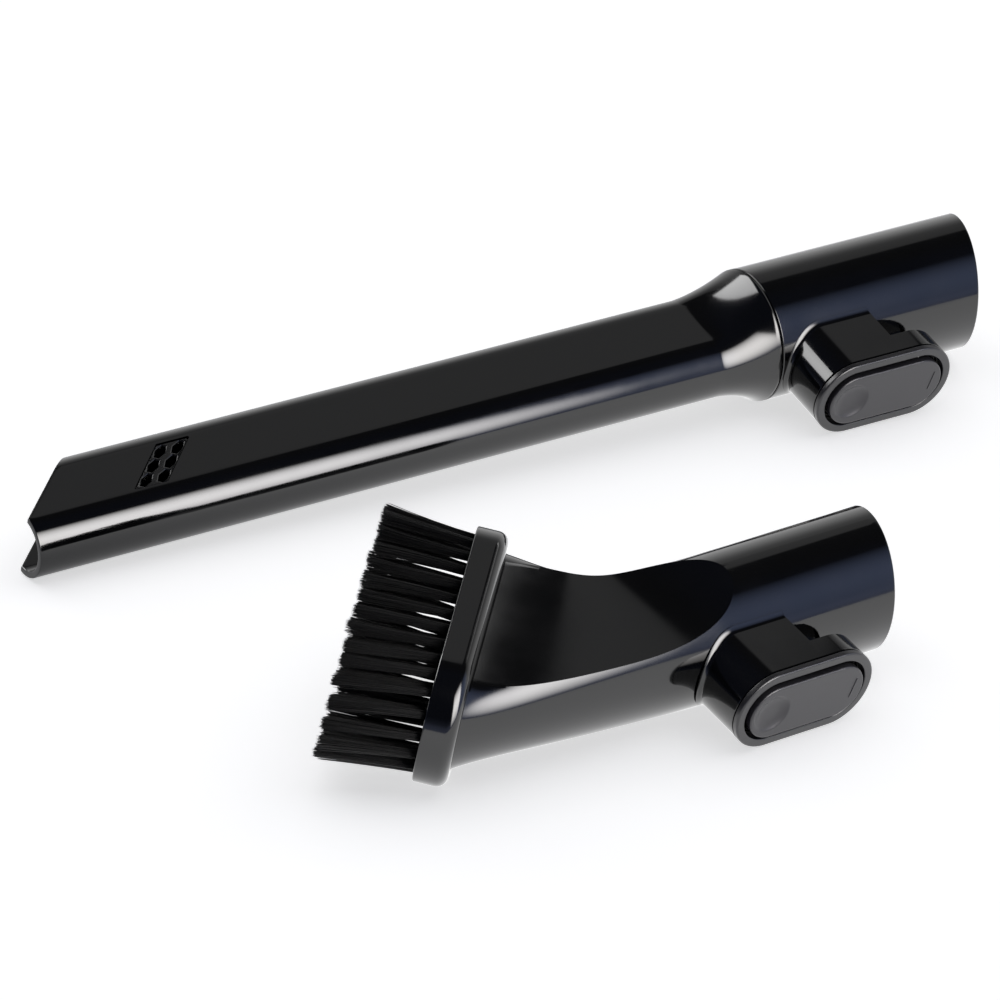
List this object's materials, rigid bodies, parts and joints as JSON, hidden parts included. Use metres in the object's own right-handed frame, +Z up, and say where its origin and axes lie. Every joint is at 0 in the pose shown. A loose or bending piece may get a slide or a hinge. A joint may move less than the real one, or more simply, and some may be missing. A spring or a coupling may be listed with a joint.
{
  "type": "handheld vacuum cleaning tool set",
  "caption": "Flat slant-tipped crevice nozzle and angled dusting brush lying side by side, each with a round push-on collar and a sprung rocker latch.",
  "frame": {"origin": "centre of the bottom of the bounding box, on the surface that both tools lie on", "axes": "+X runs along the crevice nozzle from its tip to its open end, +Y points away from the two latches, +Z is up"},
  "size_m": [0.2934, 0.1888, 0.0429],
  "materials": {
    "gloss_shell": "polished black moulded plastic",
    "satin_trim": "satin black moulded plastic",
    "satin_button": "soft satin grey-black plastic",
    "bristle_nylon": "black nylon filament",
    "steel": "bright drawn steel wire and pin"
  },
  "bodies": {
    "crevice_tool": {"crevice_tube": "gloss_shell", "crevice_vent_grille": "satin_trim", "crevice_collar": "gloss_shell", "crevice_latch_housing": "gloss_shell", "crevice_latch_bezel": "satin_trim", "crevice_pivot_pin": "steel", "crevice_return_spring": "steel"},
    "crevice_button": {"crevice_release_button": "satin_button"},
    "brush_tool": {"brush_neck": "gloss_shell", "brush_latch_housing": "gloss_shell", "brush_latch_bezel": "satin_trim", "brush_pivot_pin": "steel", "brush_return_spring": "steel", "brush_rim_band": "gloss_shell", "brush_bristle_carrier": "satin_trim", "brush_bristles_near": "bristle_nylon", "brush_bristles_far": "bristle_nylon", "brush_bristles_upper": "bristle_nylon", "brush_bristles_lower": "bristle_nylon"},
    "brush_button": {"brush_release_button": "satin_button"}
  },
  "joints": [
    {"name": "crevice_button_press", "type": "hinge", "parent": "crevice_tool", "child": "crevice_button", "pos_m": [0.09688, 0.04928, 0.01227], "axis": [0.0331, 0.2317, -0.9722], "range_deg": [0, 5], "stiffness_Nm_per_rad": 0.1, "springref_deg": -8.59},
    {"name": "brush_lift", "type": "slide", "parent": "crevice_tool", "child": "brush_tool", "axis": [0, 0, 1], "range_m": [0, 0.15]},
    {"name": "brush_button_press", "type": "hinge", "parent": "brush_tool", "child": "brush_button", "pos_m": [-0.01802, -0.0858, 0.01203], "axis": [-0.0164, 0.2158, -0.9763], "range_deg": [0, 5], "stiffness_Nm_per_rad": 0.1, "springref_deg": -8.59}
  ]
}
